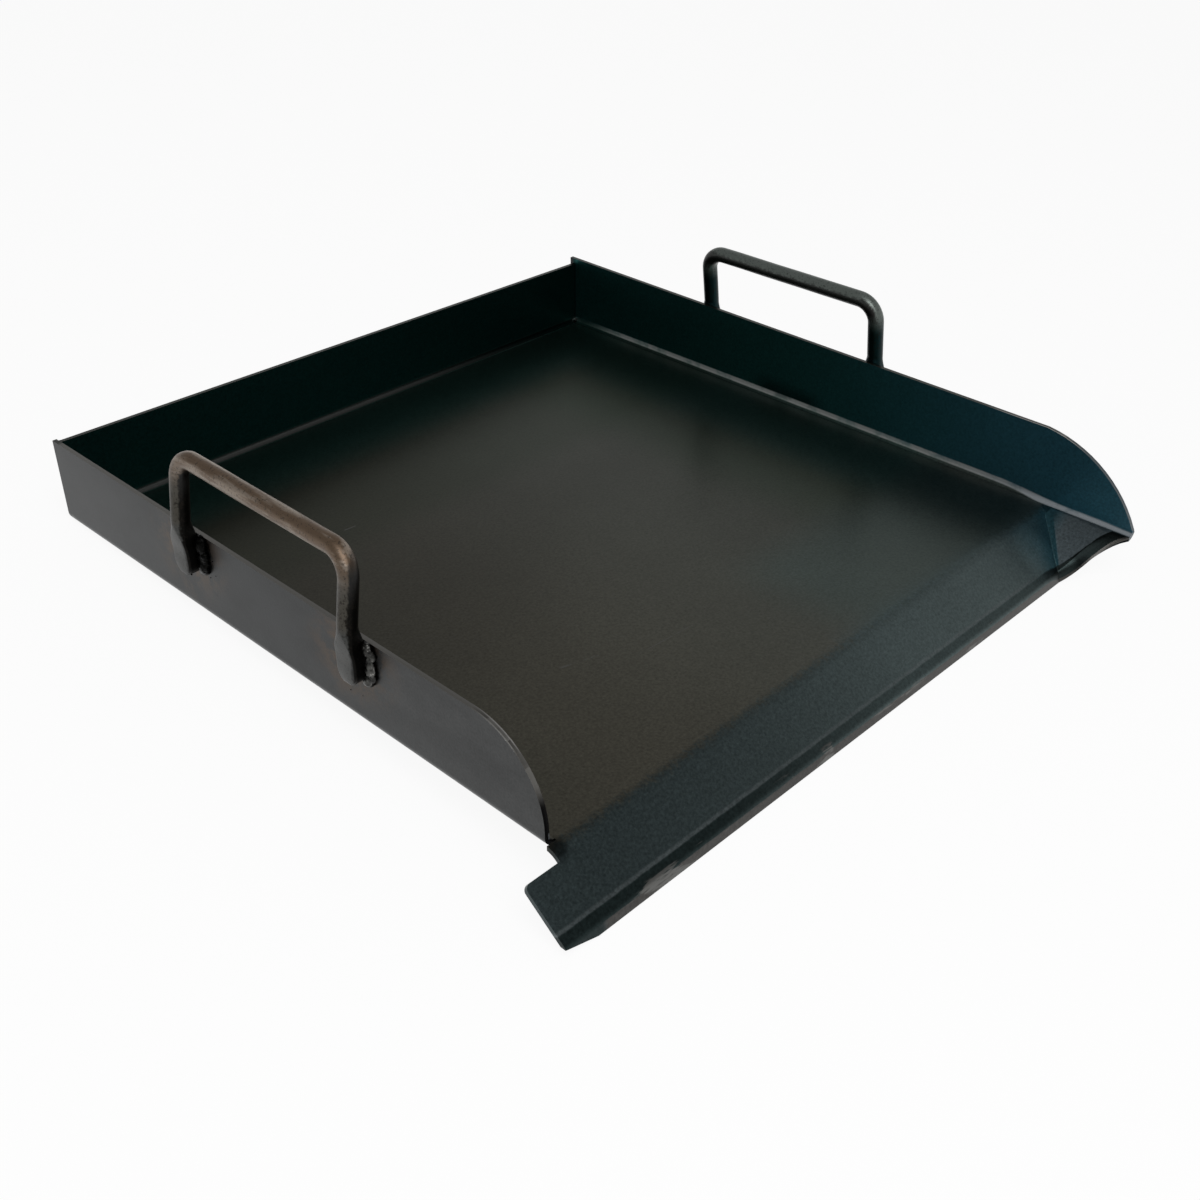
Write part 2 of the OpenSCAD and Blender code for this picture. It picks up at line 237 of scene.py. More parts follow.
sheetLook = {
    "tones": {
        "plateLeft": (0.054, 0.0512, 0.040),
        "plateMid": (0.073, 0.078, 0.067),
        "plateRight": (0.056, 0.070, 0.054),
        "plateFar": (0.061, 0.101, 0.089),
        "plateRear": (0.80, 0.87, 0.81),  # a tint, not a tone
        "plateEdge": (0.054, 0.110, 0.095),
        "plateFront": (0.083, 0.106, 0.096),
        "lipLeft": (0.045, 0.0605, 0.0625),
        "lipRight": (0.106, 0.138, 0.138),
        "lipCorner": (0.058, 0.116, 0.128),
        "lipShade": (0.020, 0.055, 0.068),
        "lipRise": (0.075, 0.140, 0.165),
        # the inside walls: dark tones that paint shade and dark reflection, bluer towards the front
        "insideBack": (0.004, 0.028, 0.026),
        "insideRear": (0.013, 0.070, 0.068),
        "insideFront": (0.0160, 0.066, 0.093),
        "outside": (0.044, 0.0455, 0.0455),
        "outsideRear": (0.0245, 0.0262, 0.0269),
        "stain": (0.066, 0.046, 0.031),
        "cutEdge": (0.140, 0.136, 0.127),
        "wornEdgeSheen": (0.210, 0.206, 0.196),
        "rubbedRimSheen": (0.350, 0.343, 0.328),
        "wingEdge": (0.098, 0.114, 0.122),
        "farEdge": (0.036, 0.040, 0.034),
        "slitShadow": (0.003, 0.003, 0.003),
        # foldHighlight and wingHighlight: a painted highlight on the side folds
        "foldHighlight": (0.200, 0.207, 0.203),
        "wingHighlight": (0.165, 0.182, 0.196),
        "backFoldLeft": (0.052, 0.054, 0.052),
        "backFoldRight": (0.005, 0.009, 0.008),
        "dripBend": (0.018, 0.027, 0.027),
        "dripBendRight": (0.062, 0.084, 0.084),
        "dripEdge": (0.058, 0.056, 0.053),
        "dripLine": (0.135, 0.155, 0.160),
        "scrape": (0.12, 0.12, 0.115),
        "cornerPatch": (0.090, 0.112, 0.122),
    },
    "limits": {  # where a coat starts and is full, in metres or shares, then the values there
        "plateMid": (-0.15, 0.09), "plateRight": (0.065, 0.115), "plateFar": (0.125, 0.160),
        "plateRear": (0.035, 0.070), "plateEdge": (0.120, 0.155),
        "plateFrontX": (-0.005, 0.045), "plateFrontY": (-0.095, -0.135),
        "frontGain": (-0.06, 0.04, 1.6, 1.25), "frontRise": (0.03, -0.15, 1.0),
        "lipStart": (-0.189, -0.196), "lipRight": (-0.19, 0.12), "lipCorner": (-0.018, 0.000),
        "lipShade": (-0.0002, 0.0004), "lipRise": (-0.0006, 0.0010), "lipRiseY": (-0.200, -0.211),
        "paintedLightSpot": (0.018, 0.004, 1.0, 1.75),
        "wingDrop": (-0.160, -0.206, 0.0, 0.0026), "tipDrop": (-0.225, -0.243, 0.0, 0.0005),
        "wallFoot": (0.0034, 0.0075), "insideFront": (0.02, -0.21),
        "sootY": (0.034, 0.014), "sootZ": (0.020, 0.007),
        "outsideRear": (-0.16, 0.02), "mottle": (0.32, 0.68, 0.84, 1.16),
        "stainRing": (0.034, 0.008), "stainBlotch": (0.42, 0.60),
        "runEnd": (0.158, 0.186, 1.0, 1.4), "stripEnd": (0.158, 0.176, 1.0, 3.0),
        "strip": (0.0047, 0.0042), "stripStart": (-0.1995, -0.1955),
        "dripBend": (0.0108, 0.0098), "dripBendRight": (-0.14, 0.03), "ridgeEnd": (0.13, 0.16, 0.5, 0.0),
        "bendDark": (0.150, 0.168, 1.0, 0.3), "bendEnd": (0.1735, 0.1770, 1.0, 0.33),
        "scrape": (0.60, 0.68), "scrapeRun": (0.0080, 0.0066), "scrapeEnd": (0.160, 0.145),
        "clouds": (0.0, 1.0, 0.9, 1.08, False), "fine": (0.0, 1.0, 0.74, 1.26, False),
        "wingEdge": (-0.185, -0.200), "farEdge": (0.183, 0.187),
        "rimOuter": (0.1992, 0.1996), "rimInner": (0.1983, 0.1979),
        "noseY": (-0.145, -0.160), "noseZ": (0.039, 0.045),
        "wornSheenPatch": (0.35, 0.55, 0.3, 1.0), "wornSheenZ": (0.036, 0.046, 0.4, 1.0),
        "wornSheenFar": (0.0, 1.0, 1.0, 0.2),
        "slitShadow": (0.031, 0.020), "slitShade": (0.0075, 0.0025),
        "backFoldRight": (0.00, 0.15), "foldEnd": (0.180, 0.130, 0.12, 1.0),
        "foldPatch": (0.36, 0.52, 0.35, 1.0), "wingHighlight": (-0.12, -0.20),
        "underZ": (0.0045, 0.0037), "underX": (0.1950, 0.1958), "underDim": (0.15, -0.15, 0.35, 0.6),
        "wallDull": (0.0, 1.0, 0.07, 0.35, False), "rough": (0.0, 1.0, 0.285, 0.385, False),
    },
    "bands": {  # where a line rises and falls again
        "ridge": ((0.0100, 0.0108), (0.0126, 0.0114)),
        "sideFold": ((0.1946, 0.1956), (0.1982, 0.1978)),
        "backFold": ((0.1846, 0.1856), (0.1882, 0.1878)),
        "backFoldZ": ((0.0026, 0.0030), (0.0063, 0.0054)),
        "highlightBand": ((0.0037, 0.0045), (0.0078, 0.0066)),
    },
    "noises": {  # scale, detail, roughness and stretch
        "mottle": (28.0, 5.0, 0.62, (1.0, 1.0, 1.7)), "blotch": (75.0, 5.0, 0.7),
        "streak": (70.0, 4.0, 0.7, (0.35, 3.0, 3.0)), "wornSheenPatch": (90.0,), "foldPatch": (55.0,),
    },
    "lipGrit": (0.016, 380.0, 4.0, 0.8), "ragged": (0.0010, 120.0),  # reach first, then as a noise
    "halfWidth": 0.200, "frontY": -0.190, "backY": 0.190, "sheet": 0.0025, "lipGap": 0.0008,
    "lipEndX": 0.196, "backWallY": 0.1866, "scratchDepth": 0.0004, "slitShadeZ": 0.0032,
    "bendLine": (0.1901, -0.1954, 0.90),  # x, y and slope of the line where the corner starts to rise
    "crease": (0.1862, -0.2047, 1.11),  # the same of the crease seen beside it
    "paintedLightSpot": (0.162, -0.208), "slitSpot": (-0.1975, -0.1935), "sootY": -0.005,
    "sootDim": 0.35, "noseDim": 0.72, "slitDim": 0.3, "stainShare": 0.85,
    "feet": [(-0.074, 0.040), (0.056, 0.040), (-0.063, 0.034), (0.067, 0.034)],  # y and z
    "rubs": [(-0.1625, 0.016), (-0.047, 0.006)],  # x and half length along the drip edge
    "rubCore": 0.4, "rubGain": 0.12,
    "scratches": [
        ((-0.0754, -0.1265), (-0.0366, -0.1288), 0.00035),
        ((-0.1097, -0.1074), (-0.0893, -0.1130), 0.0008),
        ((-0.1014, 0.0696), (-0.0949, 0.0691), 0.0006),
    ],
    "grain": (700.0, 9.0), "bump": (0.18, 0.0002), "foldDull": 0.8, "foldRough": 0.3,
}


def makeBluedSheet():
    look = sheetLook
    material, tree, shader, place = newMaterial("bluedSheet")
    soft, between, cloud, colour, coat = brushes(tree, place, look)
    grain = addGrain(tree, place, look)
    x, y, z = splitAxes(tree, place)
    sideways = calc(tree, "ABSOLUTE", x)
    onLeft = calc(tree, "LESS_THAN", x, 0.0)
    onRight = calc(tree, "GREATER_THAN", x, 0.0)

    # the plate, from left to right and from front to back
    tone = coat(colour("plateLeft"), "plateMid", soft("plateMid", x))
    tone = coat(tone, "plateRight", soft("plateRight", x))
    tone = coat(tone, "plateFar", soft("plateFar", x))
    tone = scaled(tree, tone, soft("frontRise", y, soft("frontGain", x)))
    tone = blendColour(tree, soft("plateRear", y), tone, colour("plateRear"), "MULTIPLY")
    tone = coat(tone, "plateEdge", soft("plateEdge", y))
    tone = coat(tone, "plateFront", soft("plateFrontX", x), soft("plateFrontY", y))

    # the lip and its rising corner
    risen = pastLine(tree, x, y, look["bendLine"])
    creased = product(tree, soft("lipRise", pastLine(tree, x, y, look["crease"])), soft("lipRiseY", y))
    lipTone = coat(colour("lipLeft"), "lipRight", soft("lipRight", x))
    lipTone = coat(lipTone, "lipCorner", soft("lipCorner", risen))
    # painted light: the lip is brightened round a spot beside the rising corner
    lipTone = scaled(tree, lipTone, soft("paintedLightSpot", awayFromSpot(tree, x, y, look["paintedLightSpot"])))
    lipTone = coat(lipTone, "lipShade", soft("lipShade", risen))
    lipTone = coat(lipTone, "lipRise", creased)
    grainyY = calc(tree, "ADD", y, fuzz(tree, place, *look["lipGrit"]))
    onLip = product(tree, soft("lipStart", grainyY), calc(tree, "LESS_THAN", x, look["lipEndX"]))
    tone = blendColour(tree, onLip, tone, lipTone)

    # the walls inside, painted dark as shade and dark reflection and bluer towards the front on the right,
    # with soot under the right handle
    lowered = product(tree, calc(tree, "ADD", soft("wingDrop", y), soft("tipDrop", y)), onRight)
    level = calc(tree, "ADD", z, lowered)  # the painted highlight line sinks along the wing
    half = look["sheet"] / 2
    within = product(tree, calc(tree, "LESS_THAN", sideways, look["halfWidth"] - half),
                     calc(tree, "LESS_THAN", y, look["backY"] - half))
    leftLip = product(tree, calc(tree, "LESS_THAN", y, look["frontY"] - look["lipGap"]), onLeft)
    within = calc(tree, "MAXIMUM", within, leftLip)
    onWall = product(tree, within, soft("wallFoot", level))
    forward = product(tree, soft("insideFront", y), onRight)
    wallTone = coat(colour("insideRear"), "insideFront", forward)
    fromSoot = calc(tree, "ABSOLUTE", calc(tree, "SUBTRACT", y, look["sootY"]))
    soot = product(tree, soft("sootY", fromSoot), soft("sootZ", z), onRight)
    wallTone = faded(tree, wallTone, soot, look["sootDim"])
    wallTone = coat(wallTone, "insideBack", calc(tree, "GREATER_THAN", y, look["backWallY"]))
    tone = blendColour(tree, onWall, tone, wallTone)

    # the outside and the underside, with brown heat and rust marks round the welded feet
    outside = calc(tree, "MAXIMUM", calc(tree, "SUBTRACT", 1.0, within), readMark(tree, "underSide"))
    outTone = coat(colour("outside"), "outsideRear", soft("outsideRear", y))
    outTone = scaled(tree, outTone, soft("mottle", cloud("mottle")))
    nearFoot = 0.0
    for foot in look["feet"]:
        nearFoot = calc(tree, "MAXIMUM", soft("stainRing", awayFromSpot(tree, y, z, foot)), nearFoot)
    outTone = coat(outTone, "stain", nearFoot, soft("stainBlotch", cloud("blotch")), look["stainShare"])
    tone = blendColour(tree, outside, tone, outTone)

    # the drip edge: a painted highlight on the ridge, a bend darkened with painted dark reflection, and a
    # pale strip of painted reflection with scrapes
    run = calc(tree, "ADD", readMark(tree, "edgeRun"), fuzz(tree, place, *look["ragged"]))
    run = product(tree, run, soft("runEnd", x))
    strip = product(tree, soft("strip", product(tree, run, soft("stripEnd", x))), soft("stripStart", x))
    bend = product(tree, calc(tree, "SUBTRACT", 1.0, strip), soft("dripBend", run))
    bendTone = coat(colour("dripBend"), "dripBendRight", soft("dripBendRight", x))
    # painted shade: the bend darkens further towards the right corner
    bendTone = scaled(tree, bendTone, product(tree, soft("bendDark", x), soft("bendEnd", x)))
    tone = coat(tone, "cornerPatch", creased, onLip)
    # painted highlight along the ridge
    tone = coat(tone, "dripLine", between("ridge", run), soft("ridgeEnd", x))
    tone = blendColour(tree, bend, tone, bendTone)
    # painted reflection: the pale strip at the lower edge
    tone = coat(tone, "dripEdge", strip)
    streak = cloud("streak")
    for rubX, reach in look["rubs"]:
        fromRub = calc(tree, "ABSOLUTE", calc(tree, "SUBTRACT", x, rubX))
        rubbed = spread(tree, fromRub, reach, reach * look["rubCore"], 0.0, look["rubGain"])
        streak = calc(tree, "ADD", streak, rubbed)
    bare = product(tree, soft("scrape", streak), soft("scrapeRun", run), soft("scrapeEnd", x))
    tone = scaled(tree, tone, product(tree, soft("clouds", grain["Clouds"]), soft("fine", grain["Grain"])))

    # cut edges: painted dark as shade on the far walls; worn and rubbed, with a painted highlight, on the
    # near one
    cut = readMark(tree, "cutEdge")
    onWing = product(tree, onRight, soft("wingEdge", y))
    # painted shade: the cut edges of the right and back walls are dark
    far = calc(tree, "MAXIMUM", onRight, soft("farEdge", y))
    edgeTone = coat(coat(colour("cutEdge"), "farEdge", far), "wingEdge", onWing)
    tone = blendColour(tree, cut, tone, edgeTone)
    onNose = product(tree, cut, soft("noseY", y), soft("noseZ", z))
    tone = faded(tree, tone, onNose, look["noseDim"])
    # wear and painted highlight: the eased top and nose edges of the near wall are lighter
    wornSheen = product(tree, readMark(tree, "wornEdgeSheen"), soft("wornSheenPatch", cloud("wornSheenPatch")), soft("wornSheenZ", z))
    wornSheen = product(tree, wornSheen, soft("wornSheenFar", calc(tree, "SUBTRACT", far, onWing)))
    tone = coat(tone, "wornEdgeSheen", wornSheen)
    # wear and painted highlight: lighter rims along the left nose
    rims = calc(tree, "MAXIMUM", soft("rimOuter", sideways), soft("rimInner", sideways))
    tone = coat(tone, "rubbedRimSheen", rims, onNose)

    # painted shadow on the low front face of the left nose at the slit, and painted shade on the plate beside
    # it
    slitShadow = readMark(tree, "slitShadow")
    tone = coat(tone, "slitShadow", slitShadow, soft("slitShadow", z))
    fromSlit = awayFromSpot(tree, x, y, look["slitSpot"])
    slitShaded = product(tree, soft("slitShade", fromSlit), calc(tree, "LESS_THAN", z, look["slitShadeZ"]))
    tone = faded(tree, tone, slitShaded, look["slitDim"])

    # folds: painted shade along the back fold; at the sides a painted highlight line above a bend darkened
    # with painted shade
    # painted shade along the back fold, nearly black towards the right corner
    backTone = coat(colour("backFoldLeft"), "backFoldRight", soft("backFoldRight", x))
    backFold = product(tree, between("backFold", y), between("backFoldZ", z))
    tone = blendColour(tree, backFold, tone, backTone)
    # painted shade: the side folds' bend under the painted highlight is dimmed, most towards the back
    behindLip = calc(tree, "MAXIMUM", onRight, calc(tree, "GREATER_THAN", y, look["frontY"]))
    under = product(tree, soft("underZ", z), soft("underX", sideways), within, behindLip)
    tone = blendColour(tree, under, tone, scaled(tree, tone, soft("underDim", y)))
    # painted highlight: a lighter line along the side folds, lower along the wing and broken into patches
    fold = product(tree, between("sideFold", sideways), between("highlightBand", level), soft("foldEnd", y))
    highlightTone = coat(colour("foldHighlight"), "wingHighlight", soft("wingHighlight", y))
    foldPatch = soft("foldPatch", cloud("foldPatch"))
    tone = blendColour(tree, product(tree, fold, foldPatch), tone, highlightTone)

    # scratches on the plate and scrapes on the drip edge are bare steel
    fromTop = calc(tree, "ABSOLUTE", calc(tree, "SUBTRACT", z, look["sheet"]))
    onPlate = calc(tree, "LESS_THAN", fromTop, look["scratchDepth"])
    for start, end, width in look["scratches"]:
        mark = putNode(tree, "ShaderNodeGroup", {
            "Place": place, "From X": start[0], "From Y": start[1],
            "To X": end[0], "To Y": end[1], "Width": width}, node_tree=scratchLine)
        bare = calc(tree, "MAXIMUM", bare, product(tree, mark.outputs[0], onPlate))
    tone = coat(tone, "scrape", bare)

    # the walls and the folds with the painted highlight shine less
    dull = product(tree, onWall, soft("wallDull", forward))
    dull = calc(tree, "MAXIMUM", dull, product(tree, fold, look["foldDull"]))
    coarse = product(tree, calc(tree, "MAXIMUM", fold, slitShadow), look["foldRough"])
    rough = calc(tree, "ADD", soft("rough", grain["Grain"]), coarse)
    finishSteel(tree, shader, look, grain, tone, calc(tree, "SUBTRACT", 1.0, dull), rough)
    return material


barLook = {
    "tones": {
        "rust": (0.112, 0.075, 0.048),
        "rubbed": (0.226, 0.184, 0.146),
        "leg": (0.056, 0.052, 0.044),
        "foot": (0.056, 0.057, 0.055),
        # scale: near black, painted as shade and dark reflection on one side of bar and legs
        "scale": (0.0045, 0.0043, 0.0038),
        "rightBar": (0.118, 0.136, 0.125),
        "rightLeg": (0.004, 0.016, 0.0175),
        "pit": (0.012, 0.010, 0.008),
    },
    "limits": {
        "rubbed": (0.45, 0.6), "grip": (0.074, 0.092), "foot": (0.060, 0.054), "rightBar": (0.066, 0.082),
        "shadeSide": (-0.12, 0.20), "shadeSideZ": (0.090, 0.082, 0.6, 1.0), "rightShadeSideZ": (0.072, 0.080),
        "pit": (0.62, 0.85, 0.0, 0.7), "scab": (0.52, 0.62),
        "metal": (0.066, 0.082, 0.97, 0.6), "rough": (0.0, 1.0, 0.32, 0.44, False),
    },
    "bands": {"scab": ((0.050, 0.058), (0.084, 0.074))},
    "noises": {"streak": (150.0, 4.0, 0.65, (1.0, 0.12, 1.0)), "scab": (420.0, 4.0, 0.75)},
    "ragged": (0.7, 420.0), "scabShare": 0.75,
    "grain": (900.0, 60.0), "bump": (0.14, 0.0003),
}


def makeBarScale():
    look = barLook
    material, tree, shader, place = newMaterial("barScale")
    soft, between, cloud, colour, coat = brushes(tree, place, look)
    grain = addGrain(tree, place, look)
    x, _, z = splitAxes(tree, place)
    onLeft = calc(tree, "LESS_THAN", x, 0.0)
    gripTone = coat(colour("rust"), "rubbed", soft("rubbed", cloud("streak")))
    # painted shade: the left legs below the rusty grip are darker
    leftTone = blendColour(tree, soft("grip", z), colour("leg"), gripTone)
    leftTone = coat(leftTone, "foot", soft("foot", z))
    # the right bail is coloured for its own light: a lighter bluish bar as painted highlight, near-black legs
    # as painted shade
    rightTone = coat(colour("rightLeg"), "rightBar", soft("rightBar", z))
    tone = blendColour(tree, calc(tree, "GREATER_THAN", x, 0.0), leftTone, rightTone)
    # painted shade and dark reflection: one side of bar and legs is near black
    side = calc(tree, "ADD", readMark(tree, "shadeSide"), fuzz(tree, place, *look["ragged"]))
    high = calc(tree, "MAXIMUM", onLeft, soft("rightShadeSideZ", z))
    tone = coat(tone, "scale", soft("shadeSide", side), soft("shadeSideZ", z), high)
    scabs = product(tree, soft("scab", cloud("scab")), between("scab", z), look["scabShare"])
    tone = coat(tone, "pit", calc(tree, "MAXIMUM", soft("pit", grain["Grain"]), scabs))
    finishSteel(tree, shader, look, grain, tone, soft("metal", z), soft("rough", grain["Clouds"]))
    return material


weldLook = {
    "tones": {"slag": (0.008, 0.008, 0.008), "bead": (0.100, 0.100, 0.094), "paintedGlint": (0.30, 0.295, 0.28)},
    "limits": {
        "paintedGlint": (0.64, 0.72), "root": (0.2006, 0.2018, 0.1, 1.0), "rearShade": (-0.02, 0.03, 1.0, 0.06),
        "seams": (0.10, 0.14), "rough": (0.0, 1.0, 0.25, 0.45, False),
    },
    "noises": {"paintedGlint": (520.0, 2.0)},
    "grain": (1100.0, 260.0), "bump": (0.4, 0.0003),
}


def makeWeldSteel():
    look = weldLook
    material, tree, shader, place = newMaterial("weldSteel")
    soft, _, cloud, colour, coat = brushes(tree, place, look)
    grain = addGrain(tree, place, look)
    x, y, _ = splitAxes(tree, place)
    tone = coat(colour("slag"), "bead", grain["Clouds"])
    # painted glints: small bright specks on the bead
    tone = coat(tone, "paintedGlint", soft("paintedGlint", cloud("paintedGlint")))
    # dark slag and painted shade at the root against the wall; the rear beads are painted almost black as
    # shade
    shade = product(tree, soft("root", calc(tree, "ABSOLUTE", x)), soft("rearShade", y))
    shade = calc(tree, "MAXIMUM", shade, soft("seams", y))  # the corner seams stay plain
    tone = scaled(tree, tone, shade)
    finishSteel(tree, shader, look, grain, tone, 1.0, soft("rough", grain["Grain"]))
    return material


bluedSheet = makeBluedSheet()
barScale = makeBarScale()
weldSteel = makeWeldSteel()
print("materials made")


# small helpers for meshes and pieces

def addObject(name, data):
    made = bpy.data.objects.new(name, data)
    bpy.context.scene.collection.objects.link(made)
    return made


def addPiece(name, mesh, slot, material, *nodes):
    piece = addObject(name, mesh)
    mesh.materials.clear()
    mesh.materials.append(material)
    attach(piece, "root")
    if nodes:
        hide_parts(*nodes)
    return piece


def bakeModifiers(holder, name):  # a plain mesh of what the modifiers make
    bpy.context.view_layer.update()
    seen = holder.evaluated_get(bpy.context.evaluated_depsgraph_get())
    mesh = bpy.data.meshes.new_from_object(seen)
    mesh.name = name
    holder.modifiers.clear()
    bpy.data.objects.remove(holder)
    return mesh


def smoothMesh(bm, name, sharpFrom):  # ends the bmesh; edges bent more than an angle stay sharp
    bm.normal_update()
    mesh = bpy.data.meshes.new(name)
    bm.to_mesh(mesh)
    bm.free()
    mesh.shade_smooth()
    mesh.set_sharp_from_angle(angle=math.radians(sharpFrom))
    return mesh


def markMesh(mesh, name, domain, values):  # a number on each face or point, for the shaders
    mesh.attributes.new(name, "FLOAT", domain).data.foreach_set("value", values)


def ease(value):
    value = max(0.0, min(1.0, value))
    return value * value * (3 - 2 * value)


def mixNumber(low, high, share):
    return low + (high - low) * share


def awayFrom(point, first, second):  # from a point to a straight stretch
    step = second - first
    share = max(0.0, min(1.0, (point - first).dot(step) / max(step.length_squared, 1e-12)))
    return (point - first - step * share).length


lipShape = {
    "front": -190.0, "sheet": 2.5, "slope": 38.0, "bend": 9.5, "run": 29.0, "drip": 80.0, "dripBend": 2.0,
    "dripLength": 3.8, "wing": 55.0, "foldX": 194.5, "riseFront": 27.0,  # millimetres and degrees
    "unbend": 1.2, "runOut": 4, "steps": 8,  # how the bend dies out towards the wing
}


def lipEdge(share):  # the lip's free edge, from its straight part (0) to the wing's foot (1)
    shape = lipShape
    steps = shape["steps"]
    bent = (1 - share) ** shape["unbend"]
    firstArc = math.radians(shape["slope"]) * (shape["bend"] + shape["sheet"])
    lastArc = math.radians(shape["drip"] - shape["slope"]) * (shape["dripBend"] + shape["sheet"])
    wingRun = shape["wing"] - firstArc - lastArc - shape["dripLength"]
    run = mixNumber(shape["run"], wingRun, share ** shape["runOut"])
    y, z, angle = shape["front"], shape["sheet"], 0.0
    for length, turn in ((firstArc, shape["slope"] * bent), (run, None),
                         (lastArc, shape["drip"] * bent), (shape["dripLength"], None)):
        start = angle
        end = start if turn is None else math.radians(turn)
        for k in range(steps):
            angle = mixNumber(start, end, (k + 0.5) / steps)
            y -= length / steps * math.cos(angle)
            z -= length / steps * math.sin(angle)
        angle = end
    x = mixNumber(shape["foldX"] - shape["riseFront"], shape["foldX"], share)
    return Vector((x / 1000, y / 1000, z / 1000))


panShape = {
    "edgeRound": 0.0003, "edgeSteps": 2, "sharpFrom": 35.0, "smoothTo": 70.0,
    "mergeWithin": 0.000002, "flatWithin": 0.3, "cutWithin": 0.00001,
    "frontTo": -0.1899, "rearFrom": -0.1895,
    "cornerCuts": (0.150, 0.160, 0.1648),  # x; keeps the shading of the rising corner local
    "rearCuts": [("y", 0.182), ("y", 0.186), ("x", 0.192), ("x", -0.192), ("z", 0.0062), ("z", 0.0080)],
    "topZ": 0.045, "topRise": 0.3,  # a cut edge that faces up
    "noseX": 0.1974, "noseTurn": 0.96, "noseZ": 0.005, "noseBack": 0.5,  # one that faces forward
    "wornSheenTurn": 0.2, "wornSheenZ": 0.02,
    "slitX": -0.190, "slitY": (-0.194, -0.150), "slitZ": (-0.001, 0.036), "slitTurn": -0.35,
    "underRise": -0.3, "underZ": 0.004,
    "lipX": 0.1946, "lipY": -0.189, "lipZ": 0.006, "lipReach": 0.40, "lipSteps": 24,
}


def cutAcross(bm, faces, axis, at):  # new edges along a plane that is square to an axis
    normal = Vector([float(axis == other) for other in "xyz"])
    part = set(faces) | {e for f in faces for e in f.edges} | {v for f in faces for v in f.verts}
    bmesh.ops.bisect_plane(
        bm, geom=list(part), dist=panShape["cutWithin"], plane_co=normal * at, plane_no=normal)


def faceMarks(c, n):  # what a face is, from its centre and normal
    shape = panShape
    top = c.z > shape["topZ"] and n.z > shape["topRise"]
    nose = abs(c.x) > shape["noseX"] and abs(n.x) < shape["noseTurn"]
    nose = nose and c.z > shape["noseZ"] and n.y < shape["noseBack"]
    bent = abs(n.x) > shape["wornSheenTurn"] or (top and abs(n.y) > shape["wornSheenTurn"])
    slitShadow = c.x < shape["slitX"] and shape["slitY"][0] < c.y < shape["slitY"][1]
    slitShadow = slitShadow and n.y < shape["slitTurn"] and shape["slitZ"][0] < c.z < shape["slitZ"][1]
    return {
        "cutEdge": top or nose,
        "wornEdgeSheen": (top or nose) and bent and c.z > shape["wornSheenZ"],
        "slitShadow": slitShadow,
        "underSide": n.z < shape["underRise"] and c.z < shape["underZ"],
    }


# the folded sheet: the solid's own shape with its cut edges eased
def makePan():
    shape = panShape
    bm = bmesh.new()
    bm.from_mesh(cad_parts["folded_pan"].data)
    bmesh.ops.remove_doubles(bm, verts=bm.verts, dist=shape["mergeWithin"])
    bmesh.ops.dissolve_limit(
        bm, angle_limit=math.radians(shape["flatWithin"]), use_dissolve_boundaries=False,
        verts=bm.verts, edges=bm.edges)
    for at in shape["cornerCuts"]:
        cutAcross(bm, [f for f in bm.faces if f.calc_center_median().y < shape["frontTo"]], "x", at)
    for axis, at in shape["rearCuts"]:
        cutAcross(bm, [f for f in bm.faces if f.calc_center_median().y > shape["rearFrom"]], axis, at)
    sharpFrom = math.radians(shape["sharpFrom"])
    sharp = [e for e in bm.edges if e.is_manifold and e.calc_face_angle(0.0) > sharpFrom]
    bmesh.ops.bevel(
        bm, geom=sharp, offset=shape["edgeRound"], offset_type="OFFSET", segments=shape["edgeSteps"],
        profile=0.5, affect="EDGES", clamp_overlap=True)
    holder = addObject("panHolder", smoothMesh(bm, "panSheet", shape["smoothTo"]))
    even = holder.modifiers.new("evenNormals", "WEIGHTED_NORMAL")
    even.keep_sharp = True
    mesh = bakeModifiers(holder, "panSheet")
    marks = [faceMarks(face.center, face.normal) for face in mesh.polygons]
    steps = shape["lipSteps"]
    edge = [lipEdge(0.0) - Vector((shape["lipReach"], 0, 0))] + [lipEdge(k / steps) for k in range(steps + 1)]
    runs = []
    for vertex in mesh.vertices:
        at = vertex.co
        run = 1.0  # far from the lip
        if at.x < shape["lipX"] and at.y < shape["lipY"] and at.z < shape["lipZ"]:
            run = min(awayFrom(at, first, second) for first, second in zip(edge, edge[1:]))
        runs.append(run)
    for name in marks[0]:
        markMesh(mesh, name, "FACE", [float(mark[name]) for mark in marks])
    markMesh(mesh, "edgeRun", "POINT", runs)
    return addPiece("panSheet", mesh, "sheet_steel", bluedSheet, "folded_pan")


makePan()
print("pan made")

bailShape = {
    "wallX": 0.200,
    "barRadius": 0.00475, "legY": 0.065, "rise": 0.0345, "bend": 0.012, "lean": 8.0,
    "footTop": 0.054, "footLength": 0.028, "footThick": 0.008, "footWide": 0.0135, "footEdge": 0.0012,
    "footGap": 0.00005, "tipEase": ((0.0003, 0.0001), (0.00055, 0.0004), (0.00065, 0.0009)),  # drop and inset
    "tipEdge": 0.9, "slack": 0.0001,
    "thickBy": 1.5, "wideBy": 2, "edgeBy": 2.5,  # how early the foot has its full sizes
    "tipFrom": 0.8, "tipNarrow": 0.7,
    "turnIn": 0.006, "turnSteps": 5,  # the leg tips inwards just above the foot
    "legSteps": 6, "bendSteps": 12, "barSteps": 24, "footSteps": 28, "roundPoints": 40,
    "bendFlat": 0.035,  # a bend made in a vice is a little flat
    "wobble": 0.00012, "wobbleScale": 45, "wobbleSeed": 5, "sharpFrom": 50.0,
    "sides": {-1: (-0.009, 0.003), 1: (0.002, -0.003)},  # place along the wall and lift, left and right
    "scale": {-1: (0.53, 0.06), 1: (-0.36, 0.10)},  # limits of the near-black painted shade on bar and legs
    "shadeAim": (0.69, 0.72),
}


